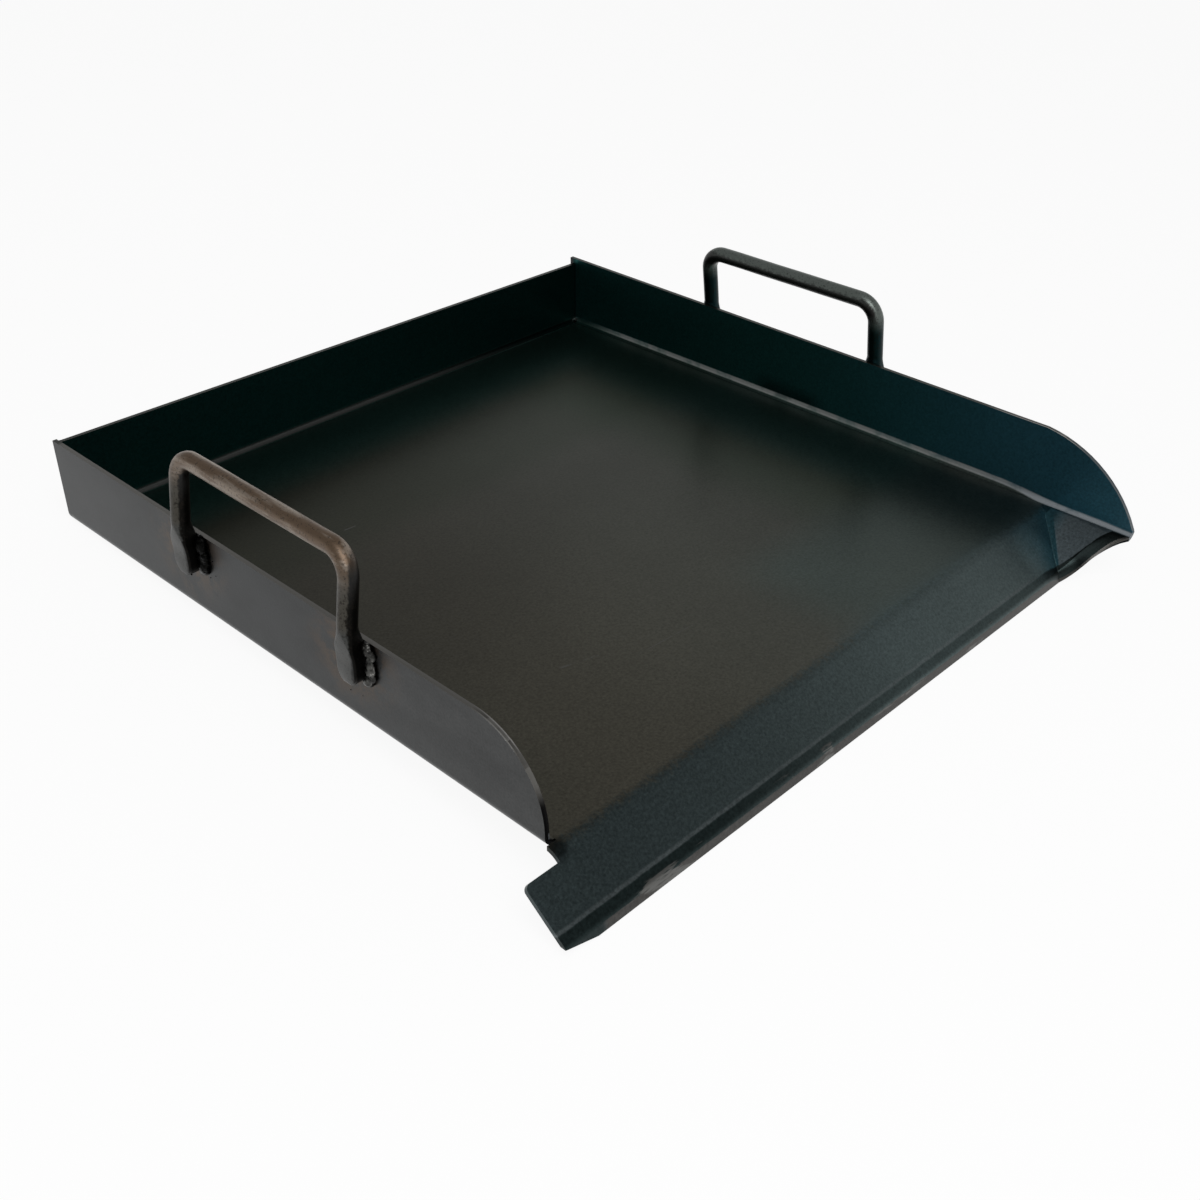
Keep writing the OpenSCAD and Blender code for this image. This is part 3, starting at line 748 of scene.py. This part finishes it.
def footSize(share):  # thickness, width and edge radius from the bar (0) to the tip (1)
    shape = bailShape
    bar = 2 * shape["barRadius"] - shape["slack"]
    thick = mixNumber(bar, shape["footThick"], ease(share * shape["thickBy"]))
    pastTip = max(0.0, (share - shape["tipFrom"]) / (1 - shape["tipFrom"]))
    tip = math.sqrt(1 - shape["tipNarrow"] * pastTip ** 2)
    wide = mixNumber(bar, shape["footWide"], ease(share * shape["wideBy"])) * tip
    edge = mixNumber(shape["barRadius"] - shape["slack"], shape["footEdge"], ease(share * shape["edgeBy"]))
    return thick, wide, edge


def bailRing(centre, axisU, axisV, thick, wide, edge):
    ring = []
    count = bailShape["roundPoints"]
    for k in range(count):
        angle = 2 * math.pi * (k + 0.5) / count
        u = math.copysign(thick / 2 - edge, math.cos(angle)) + edge * math.cos(angle)
        v = math.copysign(wide / 2 - edge, math.sin(angle)) + edge * math.sin(angle)
        ring.append(centre + axisU * u + axisV * v)
    return ring


def footRings(hand):  # from the bar down to the eased tip
    shape = bailShape
    out, side, up = Vector((1, 0, 0)), Vector((0, hand, 0)), Vector((0, 0, 1))
    rings = []
    for k in range(shape["footSteps"] + 1):
        share = k / shape["footSteps"]
        thick, wide, edge = footSize(share)
        centre = out * (thick / 2 + shape["footGap"]) + side * shape["legY"]
        centre += up * (shape["footTop"] - share * shape["footLength"])
        rings.append(bailRing(centre, out, side, thick, wide, edge))
    for drop, inset in shape["tipEase"]:
        rings.append(bailRing(
            centre - up * drop, out, side, thick - 2 * inset, wide - 2 * inset, edge * shape["tipEdge"]))
    return rings


def bailRings():
    shape = bailShape
    side = Vector((0, 1, 0))
    radius, bend, bends = shape["barRadius"], shape["bend"], shape["bendSteps"]
    lean = math.radians(shape["lean"])
    along = Vector((-math.sin(lean), 0, math.cos(lean)))
    rise = shape["rise"] / math.cos(lean)
    leg = rise - bend
    reach = shape["legY"] - bend
    base = Vector((radius, 0, shape["footTop"]))
    turns, legs = shape["turnSteps"], shape["legSteps"]
    heights = [shape["turnIn"] * k / turns for k in range(1, turns + 1)]
    heights += [mixNumber(shape["turnIn"], leg, k / legs) for k in range(1, legs + 1)]
    path = [("leg", height, 1) for height in heights]
    path += [("bend", k / bends, 1) for k in range(1, bends + 1)]
    path += [("bar", k / shape["barSteps"], 0) for k in range(1, shape["barSteps"])]
    path += [("bend", 1 - k / bends, -1) for k in range(bends + 1)]
    path += [("leg", height, -1) for height in reversed(heights[:-1])]
    rings = footRings(1)[::-1]
    for part, place, hand in path:
        tilt = lean
        flat = 1.0
        if part == "leg":
            tilt = lean * ease(0.5 + place / shape["turnIn"])
            centre = base + along * place + side * hand * shape["legY"]
            axisV = side * hand
        elif part == "bar":
            centre = base + along * rise + side * mixNumber(reach, -reach, place)
            axisV = along
        else:
            angle = place * math.pi / 2
            axisV = side * hand * math.cos(angle) + along * math.sin(angle)
            centre = base + along * leg + side * hand * reach + axisV * bend
            flat = 1 - shape["bendFlat"] * math.sin(2 * angle)
        axisU = Vector((math.cos(tilt), 0, math.sin(tilt)))
        centre = centre + noise.noise_vector(centre * shape["wobbleScale"]) * shape["wobble"]
        sizes = (2 * radius * (2 - flat), 2 * radius * flat, radius * flat)
        rings.append(bailRing(centre, axisU, axisV, *sizes))
    return rings + footRings(-1)


def shadeSideMarks(ring, hand):  # above 0 the side is painted near black as shade
    radius = bailShape["barRadius"]
    barLimit, legLimit = bailShape["scale"][hand]
    aimX, aimY = bailShape["shadeAim"]
    middle = sum(ring, Vector()) / len(ring)
    ys = [point.y for point in ring]
    upright = min(1.0, (max(ys) - min(ys)) / (2 * radius))
    marks = []
    for point in ring:
        away = (point - middle) / radius
        aimed = away.x * aimX - hand * away.y * aimY
        marks.append(mixNumber(-away.z - barLimit, -aimed - legLimit, upright))
    return marks


def makeBail(name, node, hand):
    placeY, lift = bailShape["sides"][hand]
    rings = bailRings()
    bm = bmesh.new()
    rows = []
    for ring in rings:
        rows.append([bm.verts.new((hand * (bailShape["wallX"] + point.x), point.y + placeY, point.z + lift))
                     for point in ring])
    count = bailShape["roundPoints"]
    for first, second in zip(rows, rows[1:]):
        for k in range(count):
            bm.faces.new((first[k], first[(k + 1) % count], second[(k + 1) % count], second[k]))
    bm.faces.new(rows[0])
    bm.faces.new(rows[-1])
    bmesh.ops.recalc_face_normals(bm, faces=bm.faces)
    mesh = smoothMesh(bm, name, bailShape["sharpFrom"])
    markMesh(mesh, "shadeSide", "POINT", [mark for ring in rings for mark in shadeSideMarks(ring, hand)])
    return addPiece(name, mesh, "bar_steel", barScale, node)


noise.seed_set(bailShape["wobbleSeed"])
makeBail("leftBail", "left_handle", -1)
makeBail("rightBail", "right_handle", 1)
print("bails made")


def endTree(tree, given, out, geometry):  # smooth, real and in its material
    soft = putNode(tree, "GeometryNodeSetShadeSmooth", {"Geometry": geometry})
    real = putNode(tree, "GeometryNodeRealizeInstances", {0: soft.outputs[0]})
    inputs = {"Geometry": real.outputs[0], "Material": given["Finish"]}
    dress = putNode(tree, "GeometryNodeSetMaterial", inputs)
    feed(tree, out[0], dress.outputs[0])


dropLook = {
    "smallest": 0.72, "largest": 1.12, "seedStep": 11.0, "smoothness": 4, "threshold": 0.1,
    "pits": (420.0, 3.0, 0.5),  # scale, detail and roughness
}


# a hand-laid bead: overlapping drops along a line, melted together
def makeBeadTree():
    look = dropLook
    tree, keys, given, out = newTree(
        "beadDrops", "GeometryNodeTree",
        [("Geometry", "Geometry"), ("Drop Size", "Vector"), ("Spacing", "Float"), ("Spread", "Float"),
         ("Voxel", "Float"), ("Pitting", "Float"), ("Seed", "Int"), ("Finish", "Material")],
        [("Geometry", "Geometry")])
    wire = putNode(tree, "GeometryNodeMeshToCurve", {"Mesh": given["Geometry"]})
    step = putNode(
        tree, "GeometryNodeResampleCurve", {"Curve": wire.outputs[0], "Length": given["Spacing"]},
        mode="LENGTH")
    dots = putNode(tree, "GeometryNodeCurveToPoints", {"Curve": step.outputs[0]}, mode="EVALUATED")
    drift = putNode(
        tree, "FunctionNodeRandomValue", {0: (-1, -1, -1), 1: (1, 1, 1), "Seed": given["Seed"]},
        data_type="FLOAT_VECTOR")
    moved = putNode(tree, "GeometryNodeSetPosition", {
        "Geometry": dots.outputs["Points"], "Offset": scaled(tree, drift.outputs[0], given["Spread"])})
    drop = putNode(tree, "GeometryNodeMeshIcoSphere", {"Radius": 1.0, "Subdivisions": look["smoothness"]})
    nextSeed = calc(tree, "ADD", given["Seed"], look["seedStep"])
    size = putNode(
        tree, "FunctionNodeRandomValue", {2: look["smallest"], 3: look["largest"], "Seed": nextSeed},
        data_type="FLOAT")
    place = putNode(tree, "GeometryNodeInstanceOnPoints", {
        "Points": moved.outputs[0], "Instance": drop.outputs[0],
        "Scale": scaled(tree, given["Drop Size"], size.outputs[1])})
    real = putNode(tree, "GeometryNodeRealizeInstances", {0: place.outputs[0]})
    volume = putNode(
        tree, "GeometryNodeMeshToVolume", {"Mesh": real.outputs[0], "Voxel Size": given["Voxel"]},
        resolution_mode="VOXEL_SIZE")
    skin = putNode(
        tree, "GeometryNodeVolumeToMesh",
        {"Volume": volume.outputs[0], "Voxel Size": given["Voxel"], "Threshold": look["threshold"]},
        resolution_mode="VOXEL_SIZE")
    position = putNode(tree, "GeometryNodeInputPosition").outputs[0]
    normal = putNode(tree, "GeometryNodeInputNormal").outputs[0]
    push = scaled(tree, normal, fuzz(tree, position, given["Pitting"], *look["pits"]))
    pitted = putNode(tree, "GeometryNodeSetPosition", {"Geometry": skin.outputs[0], "Offset": push})
    endTree(tree, given, out, pitted.outputs[0])
    return tree, keys


beadTree, beadKeys = makeBeadTree()


def runTree(name, tree, keys, points, edges, faces, values):
    wire = bpy.data.meshes.new(name + "Path")
    wire.from_pydata(points, edges, faces)
    holder = addObject(name + "Holder", wire)
    grow = holder.modifiers.new("grow", "NODES")
    grow.node_group = tree
    for label, value in values.items():
        grow[keys[label]] = value
    return bakeModifiers(holder, name)


def growBead(name, shape, points, edges, seed):
    return runTree(name, beadTree, beadKeys, points, edges, [], {
        "Drop Size": shape["drop"], "Spacing": shape["spacing"], "Spread": shape["spread"],
        "Voxel": shape["voxel"], "Pitting": shape["pitting"], "Seed": seed, "Finish": weldSteel})


beadShape = {
    "from": 0.36, "to": 0.94, "points": 8,  # shares of the foot's length
    "out": 0.0006, "beside": 0.0019,
    "drop": (0.0029, 0.0040, 0.0042),
    "spacing": 0.0027, "spread": 0.0008, "voxel": 0.0004, "pitting": 0.0016,
    "bite": 0.0002,
}


def makeFootBead(name, node, hand, end, seed):
    shape = beadShape
    placeY, lift = bailShape["sides"][hand]
    last = shape["points"] - 1
    points, edges = [], []
    for side in (-1, 1):
        edges += [(len(points) + k, len(points) + k + 1) for k in range(last)]
        for k in range(shape["points"]):
            share = mixNumber(shape["from"], shape["to"], k / last)
            wide = footSize(share)[1]
            y = placeY + end * bailShape["legY"] + side * (wide / 2 + shape["beside"])
            z = bailShape["footTop"] - share * bailShape["footLength"] + lift
            points.append((hand * (bailShape["wallX"] + shape["out"]), y, z))
    mesh = growBead(name, shape, points, edges, seed)
    for vertex in mesh.vertices:  # the bead bites only a little into the wall
        away = hand * vertex.co.x - bailShape["wallX"]
        if away < -shape["bite"]:
            vertex.co.x = hand * (bailShape["wallX"] - shape["bite"])
    return addPiece(name, mesh, "weld_steel", weldSteel, node)


makeFootBead("leftRearBead", "left_rear_foot_weld", -1, 1, 3)
makeFootBead("leftFrontBead", "left_front_foot_weld", -1, -1, 8)
makeFootBead("rightRearBead", "right_rear_foot_weld", 1, 1, 14)
makeFootBead("rightFrontBead", "right_front_foot_weld", 1, -1, 21)
print("foot beads made")

seamShape = {
    "x": 0.1967, "y": 0.1902, "bottom": 0.0068, "leftTop": 0.0477, "rightTop": 0.0442, "points": 10,
    "drop": (0.0026, 0.0012, 0.0019),
    "spacing": 0.0021, "spread": 0.00025, "voxel": 0.00028, "pitting": 0.0005,
}


def makeSeam(name, node, hand, top, seed):
    shape = seamShape
    last = shape["points"] - 1
    heights = [mixNumber(shape["bottom"], top, k / last) for k in range(shape["points"])]
    points = [(hand * shape["x"], shape["y"], height) for height in heights]
    mesh = growBead(name, shape, points, [(k, k + 1) for k in range(last)], seed)
    return addPiece(name, mesh, "weld_steel", weldSteel, node)


makeSeam("leftSeam", "left_corner_weld", -1, seamShape["leftTop"], 5)
makeSeam("rightSeam", "right_corner_weld", 1, seamShape["rightTop"], 9)
print("corner seams made")

spatterShape = {
    "half": 0.019, "bottom": 0.014, "top": 0.046, "sink": 0.0001,
    "density": 11000.0, "smallest": 0.0002, "largest": 0.00055, "smoothness": 2, "seed": 4,
}


# spatter: small frozen drops stuck to the wall around each foot
def makeSpatterTree():
    tree, keys, given, out = newTree(
        "weldSpatter", "GeometryNodeTree",
        [("Geometry", "Geometry"), ("Density", "Float"), ("Smallest", "Float"), ("Largest", "Float"),
         ("Seed", "Int"), ("Finish", "Material")],
        [("Geometry", "Geometry")])
    cast = putNode(tree, "GeometryNodeDistributePointsOnFaces", {
        "Mesh": given["Geometry"], "Density": given["Density"], "Seed": given["Seed"]})
    size = putNode(
        tree, "FunctionNodeRandomValue", {2: given["Smallest"], 3: given["Largest"], "Seed": given["Seed"]},
        data_type="FLOAT")
    steps = spatterShape["smoothness"]
    drop = putNode(tree, "GeometryNodeMeshIcoSphere", {"Radius": 1.0, "Subdivisions": steps})
    place = putNode(tree, "GeometryNodeInstanceOnPoints", {
        "Points": cast.outputs["Points"], "Instance": drop.outputs[0], "Scale": size.outputs[1]})
    endTree(tree, given, out, place.outputs[0])
    return tree, keys


def makeSpatter():
    shape = spatterShape
    tree, keys = makeSpatterTree()
    points, faces = [], []
    for hand, (placeY, _) in bailShape["sides"].items():
        x = hand * (bailShape["wallX"] - shape["sink"])
        for end in (-1, 1):
            y = placeY + end * bailShape["legY"]
            faces.append(tuple(len(points) + k for k in range(4)))
            for side, z in ((-1, "bottom"), (1, "bottom"), (1, "top"), (-1, "top")):
                points.append((x, y + side * shape["half"], shape[z]))
    mesh = runTree("weldSpatter", tree, keys, points, [], faces, {
        "Density": shape["density"], "Smallest": shape["smallest"], "Largest": shape["largest"],
        "Seed": shape["seed"], "Finish": weldSteel})
    return addPiece("weldSpatter", mesh, "weld_steel", weldSteel)


makeSpatter()
print("spatter made")

stageLook = {
    "half": 6.0, "lift": 0.0003, "restBack": 0.1915, "restFront": -0.2200,
    "grey": (0.85, 0.85, 0.85, 1.0), "glowShare": 0.92,
}


def makeFloor():
    look = stageLook
    low = cadBox[0][2]
    slope = -low / (look["restBack"] - look["restFront"])  # the lip hangs lower, so the plate leans on it
    half = look["half"]
    corners = [(sx * half, sy * half, (sy * half - look["restBack"]) * slope - look["lift"])
               for sx, sy in ((-1, -1), (1, -1), (1, 1), (-1, 1))]
    mesh = bpy.data.meshes.new("floorSheet")
    mesh.from_pydata(corners, [], [(0, 1, 2, 3)])
    floor = addObject("floorSheet", mesh)
    material = bpy.data.materials.new("paleFloor")
    material.use_nodes = True
    tree = material.node_tree
    tree.nodes.clear()
    matt = putNode(tree, "ShaderNodeBsdfDiffuse", {"Color": look["grey"]})
    glow = putNode(tree, "ShaderNodeEmission", {"Strength": 1.0})
    ray = putNode(tree, "ShaderNodeLightPath").outputs
    seen = calc(tree, "MAXIMUM", ray["Is Camera Ray"], ray["Is Glossy Ray"])
    seen = calc(tree, "MAXIMUM", seen, ray["Is Transmission Ray"])
    join = putNode(tree, "ShaderNodeMixShader", {
        0: product(tree, seen, look["glowShare"]), 1: matt.outputs[0], 2: glow.outputs[0]})
    putNode(tree, "ShaderNodeOutputMaterial", {0: join.outputs[0]})
    mesh.materials.append(material)


lampLook = {
    "at": (-0.56, -0.80, 1.26), "size": 1.2, "power": 18.0,
    "skyTilt": (-0.40, -0.10, 0.91),  # the dome dims towards this side
    "sky": [(0.0, 0.60), (0.10, 0.52), (0.17, 0.50), (0.30, 0.38), (0.43, 0.30), (0.50, 0.24), (1.0, 0.26)],
    "horizon": (0.03, 0.24),
}


def makeLamps():
    look = lampLook
    data = bpy.data.lights.new("softLamp", "AREA")
    data.shape = "SQUARE"
    data.size = look["size"]
    data.energy = look["power"]
    lamp = addObject("softLamp", data)
    lamp.location = look["at"]
    lamp.rotation_euler = (-Vector(look["at"])).to_track_quat("-Z", "Y").to_euler()
    world = bpy.data.worlds.new("studio")
    bpy.context.scene.world = world
    world.use_nodes = True
    tree = world.node_tree
    back = tree.nodes["Background"]
    aim = putNode(tree, "ShaderNodeTexCoord").outputs["Generated"]
    lean = putNode(tree, "ShaderNodeVectorMath", {0: aim, 1: look["skyTilt"]}, operation="DOT_PRODUCT")
    ramp = putNode(tree, "ShaderNodeValToRGB", {0: lean.outputs["Value"]})
    stops = look["sky"]
    while len(ramp.color_ramp.elements) < len(stops):
        ramp.color_ramp.elements.new(0.5)
    for element, (height, level) in zip(ramp.color_ramp.elements, stops):
        element.position = height
        element.color = (level, level, level, 1.0)
    rise = spread(tree, splitAxes(tree, aim)[2], *look["horizon"])
    feed(tree, back.inputs["Color"], blendColour(tree, rise, (1.0, 1.0, 1.0, 1.0), ramp.outputs[0]))
    back.inputs["Strength"].default_value = 1.0


cameraLook = {
    "at": (-0.49959, -0.50774, 0.40877), "turn": (56.673, -0.229, -46.039),
    "lens": 43.308, "sensor": 36.0, "clipStart": 0.01,
}


def makeCamera():
    look = cameraLook
    data = bpy.data.cameras.new("photoCamera")
    data.sensor_fit = "HORIZONTAL"
    data.sensor_width = look["sensor"]
    data.lens = look["lens"]
    data.clip_start = look["clipStart"]
    camera = addObject("photoCamera", data)
    camera.location = look["at"]
    camera.rotation_euler = [math.radians(turn) for turn in look["turn"]]
    bpy.context.scene.camera = camera


makeFloor()
makeLamps()
makeCamera()
bpy.context.scene.view_settings.view_transform = "Standard"
bpy.context.view_layer.update()
print("stage, lamps and camera made")
